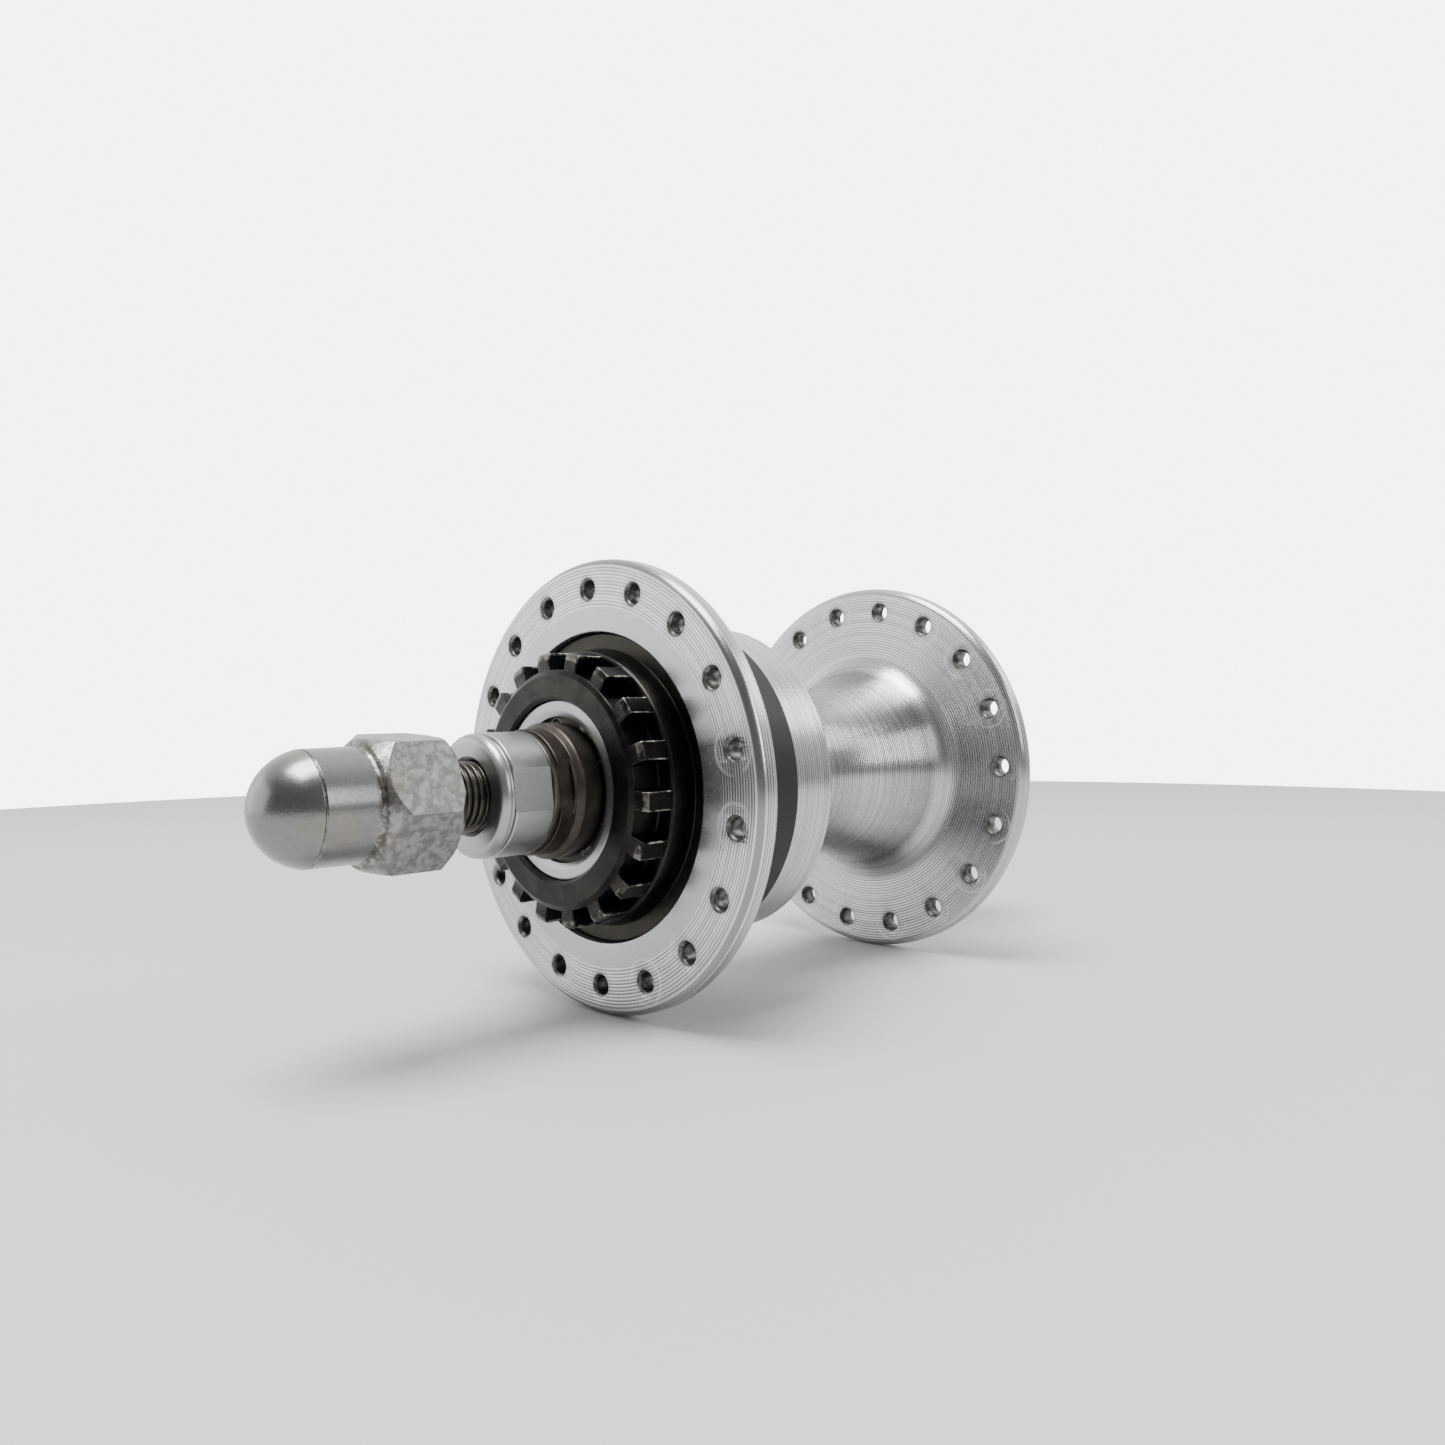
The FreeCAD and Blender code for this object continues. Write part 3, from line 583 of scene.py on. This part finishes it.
LEFT_FACE, SHELL_STOP = along("hub_shell")
FLANGE_RAD = widest("hub_shell")
BOSS_RAD = widest("brake_boss")
CUP_RAD = widest("left_bearing_cup")
AXLE_RAD = widest("axle")
END_RING = 0.7            # how far the ring round the right bearing stands out of the flange
BAND_THICK = 0.2
RIGHT_FACE = SHELL_STOP - END_RING
WAIST = 8.4               # the middle of the barrel's narrowest stretch
TOOL_PITCH = 0.48         # feed of the lathe tool
SPOKE_CIRCLE_RAD = 29.0
SPOKE_COUNT = 18
SPOKE_HOLE_RAD = 1.35
SPOKE_SINK_RAD = 1.8      # at the mouth of a hole
DRILL_TURN = 32           # segments round a spoke hole
DRILL_CLEAR = 1.0         # how far a drill stands out of the flange
HEAD_RING_RAD = 3.2       # the ring that a spoke head rubs, from the middle of its hole
HOLE_GRIME_AND_SHADE_EDGE = (2.6, 1.75)        # where dirt and painted shade round a hole start, and where they are full
SMOOTH_BAND_EDGE = (26.4, 26.0)      # where the left face's smooth band starts, going inwards
BARREL_RAD = 13.2
FLARE_RAD = 18.17         # where the barrel's flare meets the right flange
DRUM_STOP = 26.0          # places on the shell, from its left face
BARREL_STOP = 45.95
BOSS_SEAT = 14.0
DRUM_BORE_STOP = 23.0
CUP_SEAT = 61.0
DRUM_BORE_RAD = 21.0
AXLE_BORE_RAD = 9.5
HOLE_PHASE = {"left": 11.8, "right": 1.8}
FLANGE_THICK = {"left": 3.8, "right": 3.4}
SPANNER_GAP = 16.0
FLAT_PHASE = 7.0
DOME_HEX_PHASE = 25.0
DOME_HEX_GAP = 16.5
DOME_HEX_LENGTH = 10.6
CAP_STEPS = 18            # steps in a domed cap's outline
DOME_SEAM = 17.5
HEX_STOP = inboard("right_dome_nut", 1) + DOME_HEX_LENGTH
CAP_SEAM = inboard("right_dome_nut", 1) + DOME_SEAM
BOSS_CUP_SEAT = 13.8      # places on the boss, from its inboard end
BOSS_POCKET = 10.0
BOSS_LEDGE = 12.9
BOSS_ROOT = 16.6
BOSS_TOP = 21.05
BOSS_FACE = 21.45
COLLAR_INNER_EDGE = (19.7, 20.1)     # where the painted light on the collar behind the teeth starts, by radius
COLLAR_LOW_EDGE = (12.0, 12.6)       # and by place
TOOTH_COUNT = 18
TOOTH_WIDTH = 2.6
TOOTH_TIP_RAD = 19.6
TOOTH_FACE_RAD = 18.8     # where a tooth's tip starts to slope
TOOTH_PHASE = math.radians(17.7)
THREAD_PITCH = 25.4 / 26
THREAD_DEPTH = 0.5


def drill_flange(shell, low, high, phase, material):
    """Spoke holes sunk from both faces, with a small flare at each mouth."""
    sink = SPOKE_SINK_RAD - SPOKE_HOLE_RAD
    hole = [
        (0, low - DRILL_CLEAR),
        (SPOKE_SINK_RAD + DRILL_CLEAR, low - DRILL_CLEAR),
        (SPOKE_HOLE_RAD, low + sink, 0.3),
        (SPOKE_HOLE_RAD, high - sink, 0.3),
        (SPOKE_SINK_RAD + DRILL_CLEAR, high + DRILL_CLEAR),
        (0, high + DRILL_CLEAR),
    ]
    work = bmesh.new()
    for number in range(SPOKE_COUNT):
        angle = math.radians(phase + 360 * number / SPOKE_COUNT)
        centre = (SPOKE_CIRCLE_RAD * math.cos(angle), SPOKE_CIRCLE_RAD * math.sin(angle))
        spin(work, turned_line(hole), DRILL_TURN, centre=centre)
    drills = new_object("drills", mesh_from(work, "drills"))
    drills.data.materials.append(material)
    join_solids(shell, drills, "DIFFERENCE")


def make_shell(turned, drilled):
    """The shell: two flanges, the drum behind the left one, and a barrel that flares to the right."""
    width = RIGHT_FACE - LEFT_FACE
    right_inner = width - FLANGE_THICK["right"]
    drum_rad = widest("drum_band") - BAND_THICK
    shell = lathe("shell", [
        (BOSS_RAD, 0, 0.25),
        (FLANGE_RAD, 0, 1.3),
        (FLANGE_RAD, FLANGE_THICK["left"], 1.3),
        (drum_rad, FLANGE_THICK["left"], 3.0),
        (drum_rad, DRUM_STOP, 1.0),
        (BARREL_RAD, DRUM_STOP, 6.0),
        (BARREL_RAD, BARREL_STOP, 30.0),
        (FLARE_RAD, right_inner, 4.45),
        (FLANGE_RAD, right_inner, 1.3),
        (FLANGE_RAD, width, 1.3),
        (16.3, width, 0.2),
        (15.6, width + END_RING, 0.2),
        (CUP_RAD, width + END_RING, 0.2),
        (CUP_RAD, CUP_SEAT),
        (AXLE_BORE_RAD, CUP_SEAT),
        (AXLE_BORE_RAD, DRUM_BORE_STOP),
        (DRUM_BORE_RAD, DRUM_BORE_STOP),
        (DRUM_BORE_RAD, BOSS_SEAT),
        (BOSS_RAD, BOSS_SEAT),
    ], LEFT_FACE, 1, WIDE_TURN)
    shell.data.materials.append(turned)
    drill_flange(shell, LEFT_FACE, LEFT_FACE + FLANGE_THICK["left"], HOLE_PHASE["left"], drilled)
    drill_flange(shell, RIGHT_FACE - FLANGE_THICK["right"], RIGHT_FACE, HOLE_PHASE["right"], drilled)
    stand_for(shell, "hub_shell")


def make_band(material):
    """The printed band, as a thin ring on the drum."""
    outer = widest("drum_band")
    length = length_of("drum_band")
    band = lathe("printed_band", [
        (outer - BAND_THICK, 0, 0.02),
        (outer, 0, 0.08),
        (outer, length, 0.08),
        (outer - BAND_THICK, length, 0.02),
    ], along("drum_band")[0], 1, WIDE_TURN)
    stand_for(band, "drum_band", material)


def add_teeth(boss):
    """Straight teeth with rounded edges, their tips on one cylinder."""
    root_rad = 16.5
    sunk = BOSS_ROOT - 0.4
    slices = 6
    sharp_turn = math.radians(20)
    corners = [(root_rad, sunk), (TOOTH_TIP_RAD, sunk), (TOOTH_TIP_RAD, BOSS_TOP - 0.35),
               (TOOTH_FACE_RAD, BOSS_TOP), (root_rad, BOSS_TOP)]
    work = bmesh.new()
    start = inboard("brake_boss", -1)
    for number in range(TOOTH_COUNT):
        turn = Matrix.Rotation(-TOOTH_PHASE - 2 * math.pi * number / TOOTH_COUNT, 4, "Y")
        sheets = []
        for cut in range(slices + 1):
            across = TOOTH_WIDTH * (cut / slices - 0.5)
            sheets.append([work.verts.new(turn @ Vector((math.sqrt(radius ** 2 - across ** 2),
                                                         start - place, across)))
                           for radius, place in corners])
        for first, second in zip(sheets, sheets[1:]):
            for index in range(len(corners)):
                after = (index + 1) % len(corners)
                work.faces.new((first[index], first[after], second[after], second[index]))
        work.faces.new(sheets[0])
        work.faces.new(list(reversed(sheets[-1])))
    bmesh.ops.recalc_face_normals(work, faces=work.faces)
    sharp = [edge for edge in work.edges
             if len(edge.link_faces) == 2 and edge.calc_face_angle() > sharp_turn]
    bmesh.ops.bevel(work, geom=sharp, offset=0.14, segments=BEVEL_STEPS, affect="EDGES", profile=0.6)
    join_solids(boss, new_object("teeth", mesh_from(work, "teeth")), "UNION")


def make_boss(material):
    """The brake boss: a skirt inside the drum, a ledge, and a ring of teeth that stands out of it."""
    skirt_bore_rad = 20.7
    core_rad = 17.1
    sleeve_bore_rad = 10.5
    boss = lathe("splined_boss", [
        (skirt_bore_rad, 0),
        (BOSS_RAD, 0),
        (BOSS_RAD, BOSS_LEDGE, 0.45),
        (20.25, BOSS_LEDGE, 0.15),
        (19.8, BOSS_ROOT, 0.5),
        (core_rad, BOSS_ROOT, 0.3),
        (core_rad, BOSS_TOP, 0.15),
        (16.35, BOSS_FACE, 0.2),
        (13.3, BOSS_FACE, 0.12),
        (CUP_RAD, BOSS_FACE - 0.4),
        (CUP_RAD, BOSS_CUP_SEAT),
        (sleeve_bore_rad, BOSS_CUP_SEAT),
        (sleeve_bore_rad, 0),
        (14.5, 0),
        (14.5, BOSS_POCKET, 1.0),
        (skirt_bore_rad, BOSS_POCKET, 1.0),
    ], inboard("brake_boss", -1), -1, WIDE_TURN)
    add_teeth(boss)
    stand_for(boss, "brake_boss", material)


def make_cone(name, side, material):
    """A cone: the race that the balls run on, a shield round it, and a neck with two spanner flats."""
    node = f"{name}_cone"
    start = inboard(node, side)
    length = length_of(node)
    race_rad, shield_rad, neck_rad = 6.56, 9.6, 8.8
    race_stop, flats_start = 5.64, 10.1
    cone = lathe(f"{name}_turned_cone", [
        (AXLE_RAD, 0),
        (6.2, 0, 0.2),
        (race_rad, 0.8, 0.3),
        (race_rad, race_stop, 2.52),
        (9.3, race_stop, 0.3),
        (shield_rad, 6.2, 0.3),
        (shield_rad, 9.1, 0.6),
        (neck_rad, 9.7, 0.3),
        (neck_rad, length, 0.2),
        (AXLE_RAD, length),
    ], start, side)
    ends = sorted((start + side * flats_start, start + side * (length + 1)))
    cut_flats(cone, SPANNER_GAP, ends[0], ends[1], FLAT_PHASE * -side)
    soften(cone, 0.1)
    stand_for(cone, node, material)


def make_dust_cap(name, side, material):
    """A pressed ring with a raised, rounded face."""
    node = f"{name}_dust_cap"
    length = length_of(node)
    skirt_rad, mouth_rad = 12.2, 10.4
    face_back = length - 0.75
    cap = lathe(f"{name}_pressed_cap", [
        (skirt_rad, 0, 0.1),
        (CUP_RAD, 0, 0.1),
        (CUP_RAD, length - 0.2, 0.2),
        (12.55, length, 0.5),
        (11.3, length - 0.06, 1.0),
        (mouth_rad, length - 0.4, 0.15),
        (mouth_rad, face_back, 0.1),
        (skirt_rad, face_back, 0.2),
    ], inboard(node, side), side)
    stand_for(cap, node, material)


def make_washer(name, side, material):
    """A thin washer with its outer edge rolled over."""
    node = f"{name}_washer"
    length = length_of(node)
    rim = widest(node)
    washer = lathe(f"{name}_pressed_washer", [
        (AXLE_RAD, 0),
        (rim, 0, 0.2),
        (rim, length, 0.3),
        (AXLE_RAD, length),
    ], inboard(node, side), side)
    stand_for(washer, node, material)


def make_lock_nut(name, side, material):
    """A round nut with two spanner flats, a groove and a rounded nose."""
    node = f"{name}_lock_nut"
    length = length_of(node)
    start = inboard(node, side)
    body_rad, groove_rad, nose_rad = 8.47, 7.95, 8.4
    groove = length - 2.0
    nose = groove + 0.7
    nut = lathe(f"{name}_turned_lock_nut", [
        (AXLE_RAD, 0),
        (body_rad, 0, 0.15),
        (body_rad, groove, 0.25),
        (groove_rad, groove, 0.2),
        (groove_rad, nose, 0.2),
        (nose_rad, nose, 0.2),
        (nose_rad, length, 1.2),
        (5.4, length, 0.15),
        (AXLE_RAD, length - 0.64),
    ], start, side)
    ends = sorted((start - side, start + side * groove))
    cut_flats(nut, SPANNER_GAP, ends[0], ends[1], FLAT_PHASE * -side)
    soften(nut, 0.1)
    stand_for(nut, node, material)


def make_dome_nut(name, side, material):
    """A closed nut: hexagon, round body and a cap set on it with a fine seam."""
    node = f"{name}_dome_nut"
    start = inboard(node, side)
    length = length_of(node)
    corner = DOME_HEX_GAP / 2 / math.cos(math.radians(30))
    body = 7.15
    bore_rad = 4.82
    cap_height = length - DOME_SEAM
    cap_round = (body ** 2 / cap_height + cap_height) / 2
    cap = []
    for step in range(1, CAP_STEPS):
        lean = math.asin(body / cap_round) * (1 - step / CAP_STEPS)
        cap.append((cap_round * math.sin(lean), length - cap_round * (1 - math.cos(lean))))
    nut = lathe(f"{name}_closed_nut", [
        (5.4, 0, 0.1),
        (corner - 1.1, 0, 0.3),
        (corner, 1.1, 0.6),
        (corner, 8.0, 0.8),
        (7.9, DOME_HEX_LENGTH - 0.4, 0.3),
        (7.45, DOME_HEX_LENGTH - 0.2, 0.15),
        (body + 0.1, DOME_HEX_LENGTH + 0.2, 0.4),
        (body, DOME_SEAM - 0.2, 0.08),
        (body - 0.16, DOME_SEAM, 0.05),
        (body, DOME_SEAM + 0.2, 0.08),
        *cap,
        (0, length),
        (0, 19.4),
        (bore_rad, 17.0),
        (bore_rad, 0.58, 0.1),
    ], start, side)
    ends = sorted((start - side, start + side * (DOME_HEX_LENGTH + 0.1)))
    for turn in (0, 60, 120):
        cut_flats(nut, DOME_HEX_GAP, ends[0], ends[1], DOME_HEX_PHASE * -side + turn)
    soften(nut, 0.16)
    stand_for(nut, node, material)


def make_axle(material):
    """A solid axle whose ends carry a rolled thread."""
    stop = along("axle")[1]
    thread_start = 40.0
    rows_per_turn = 12
    end_chamfer = 0.8
    crest_share = 1.25        # above 1, crests are flat rather than sharp
    row = THREAD_PITCH / rows_per_turn
    places = [thread_start + row * number for number in range(int((stop - thread_start) / row))]
    rings = [-stop] + [-place for place in reversed(places)] + places + [stop]
    segments = 96
    work = bmesh.new()
    grid = []
    for place in rings:
        ring = []
        chamfer = AXLE_RAD - end_chamfer + (stop - abs(place))
        start_taper = min(1.0, (abs(place) - thread_start) / THREAD_PITCH)
        for step in range(segments):
            angle = 2 * math.pi * step / segments
            wave = 0.5 + 0.5 * math.cos(2 * math.pi * place / THREAD_PITCH - angle)
            valley = THREAD_DEPTH * start_taper * (1 - min(1.0, crest_share * wave))
            radius = min(AXLE_RAD - valley, chamfer)
            ring.append(work.verts.new((radius * math.cos(angle), place, radius * math.sin(angle))))
        grid.append(ring)
    for first, second in zip(grid, grid[1:]):
        for step in range(segments):
            after = (step + 1) % segments
            work.faces.new((first[step], first[after], second[after], second[step]))
    work.faces.new(grid[0])
    work.faces.new(list(reversed(grid[-1])))
    axle = new_object("threaded_axle", mesh_from(work, "threaded_axle"))
    stand_for(axle, "axle", material)


def dress(node, material):
    """A CAD node that keeps its own mesh."""
    thing = frame["nodes"][node]
    if not thing.material_slots:
        thing.data.materials.append(material)
    for material_slot in thing.material_slots:
        material_slot.material = material


def build_hub():
    """Every piece with its material. Cups, balls and retainers keep the CAD's meshes."""
    make_shell(turned_aluminium(), drilled_aluminium_painted_shade())
    make_band(printed_black())
    make_boss(black_steel())
    make_axle(axle_thread())
    cone_steel = dark_steel("cone_steel", (0.072, 0.062, 0.052), (0.038, 0.034, 0.03), 0.3)
    cap_zinc = bright_plate("cap_zinc", (0.37, 0.375, 0.38), (0.25, 0.26, 0.265), 0.24, 0.3)
    washer_steel = dark_steel("washer_steel", (0.11, 0.10, 0.09), (0.06, 0.055, 0.05), 0.3)
    nickel = bright_plate("lock_nut_nickel", (0.35, 0.35, 0.345), (0.23, 0.225, 0.20), 0.25, 0.35)
    zinc = handled_zinc()
    # Painted shade: the bearing cups and balls are coloured dark for the shade inside the bearing.
    grease_and_shade = greased_steel_painted_shade()
    # Painted shade and grease: the retainer is coloured near black for the shade inside the bearing.
    retainer = bright_plate("retainer_steel", (0.05, 0.046, 0.038), (0.025, 0.022, 0.016), 0.4, 0.5)
    for name, side in SIDES.items():
        make_cone(name, side, cone_steel)
        make_dust_cap(name, side, cap_zinc)
        make_washer(name, side, washer_steel)
        make_lock_nut(name, side, nickel)
        make_dome_nut(name, side, zinc)
        dress(f"{name}_bearing_cup", grease_and_shade)
        dress(f"{name}_bearing_balls", grease_and_shade)
        dress(f"{name}_ball_retainer", retainer)


# ---- Floor, light and camera ----

FLOOR_RAD = 500.0
FLOOR_TURN = 128          # segments round the floor
# Each lamp's name, place and size in metres, and power in watts
LAMPS = [
    ("overhead", (0.02, -0.20, 0.78), (0.45, 0.45), 13.0),
    ("left", (-0.62, -0.60, 0.17), (0.90, 0.54), 2.6),
    ("right", (0.70, 0.15, 0.30), (0.25, 0.40), 1.8),
    ("far_right", (0.30, 0.46, 0.36), (0.30, 0.24), 1.0),
]
WHITE = (1, 1, 1, 1)
PALE_SIDE = (-0.62, 0.55, 0.45)      # towards the room's pale side
PALE_REACH = 0.8          # lean towards it at which the room is palest
ROOM_DARK = 0.3
ROOM_PALE = 2.0
BACKDROP = 6.0            # brightness of the room where the camera sees it
CAMERA_PLACE = Vector((0.12755, -0.13136, 0.01129))
CAMERA_LOOK = Vector((-0.70094, 0.71311, -0.01257))
CAMERA_UP = Vector((0.0, 0.01762, 0.99984))
CAMERA_LENS = 27.69
SENSOR_WIDTH = 36.0
NEAREST_SEEN = 0.005


def make_floor():
    """A plain pale floor under the flanges."""
    finish = Finish("pale_floor", metallic=0.0)
    cloud = finish.noise(0.004, 3.0)
    colour = finish.blend(cloud, (0.50, 0.50, 0.50), (0.53, 0.53, 0.525))
    material = finish.finish(colour, finish.sum("MULTIPLY_ADD", cloud, 0.1, 0.6))
    work = bmesh.new()
    bmesh.ops.create_circle(work, cap_ends=True, segments=FLOOR_TURN, radius=FLOOR_RAD)
    bmesh.ops.translate(work, vec=(0, 0, cad_low.z / MM), verts=work.verts)
    floor = new_object("floor", mesh_from(work, "floor"))
    floor.data.materials.append(material)


def soft_box(name, place, size, watts):
    """A rectangular lamp that faces the hub."""
    data = bpy.data.lights.new(name, "AREA")
    data.shape = "RECTANGLE"
    data.size, data.size_y = size
    data.energy = watts
    lamp = new_object(name, data)
    lamp.location = place
    lamp.rotation_euler = (-Vector(place)).to_track_quat("-Z", "Y").to_euler()


def make_light():
    """Soft boxes in a room that is pale above and behind the hub and dark on the camera's side."""
    for lamp in LAMPS:
        soft_box(*lamp)
    world = bpy.data.worlds.new("studio")
    bpy.context.scene.world = world
    world.use_nodes = True
    tree = world.node_tree
    room = tree.nodes["Background"]
    towards = tree.nodes.new("ShaderNodeTexCoord")
    pale_side = tree.nodes.new("ShaderNodeVectorMath")
    pale_side.operation = "DOT_PRODUCT"
    pale_side.inputs[1].default_value = PALE_SIDE
    tree.links.new(towards.outputs["Generated"], pale_side.inputs[0])
    shade = tree.nodes.new("ShaderNodeMapRange")
    limits = {"From Min": 0.0, "From Max": PALE_REACH, "To Min": ROOM_DARK, "To Max": ROOM_PALE}
    for name, value in limits.items():
        shade.inputs[name].default_value = value
    tree.links.new(pale_side.outputs["Value"], shade.inputs["Value"])
    tree.links.new(shade.outputs[0], room.inputs["Strength"])
    room.inputs["Color"].default_value = WHITE
    backdrop = tree.nodes.new("ShaderNodeBackground")
    backdrop.inputs["Color"].default_value = WHITE
    backdrop.inputs["Strength"].default_value = BACKDROP
    seen = tree.nodes.new("ShaderNodeLightPath")
    choice = tree.nodes.new("ShaderNodeMixShader")
    tree.links.new(seen.outputs["Is Camera Ray"], choice.inputs[0])
    tree.links.new(room.outputs[0], choice.inputs[1])
    tree.links.new(backdrop.outputs[0], choice.inputs[2])
    tree.links.new(choice.outputs[0], tree.nodes["World Output"].inputs["Surface"])


def make_camera():
    """Close to the brake end, about 45 degrees off the axle's line and level with the hub."""
    data = bpy.data.cameras.new("camera")
    data.lens = CAMERA_LENS
    data.sensor_width = SENSOR_WIDTH
    data.clip_start = NEAREST_SEEN
    camera = new_object("camera", data)
    back = -CAMERA_LOOK.normalized()
    right = CAMERA_UP.cross(back).normalized()
    up = back.cross(right)
    turn = Matrix((right, up, back)).transposed().to_4x4()
    camera.matrix_world = Matrix.Translation(CAMERA_PLACE) @ turn
    bpy.context.scene.camera = camera


build_hub()
make_floor()
make_light()
make_camera()
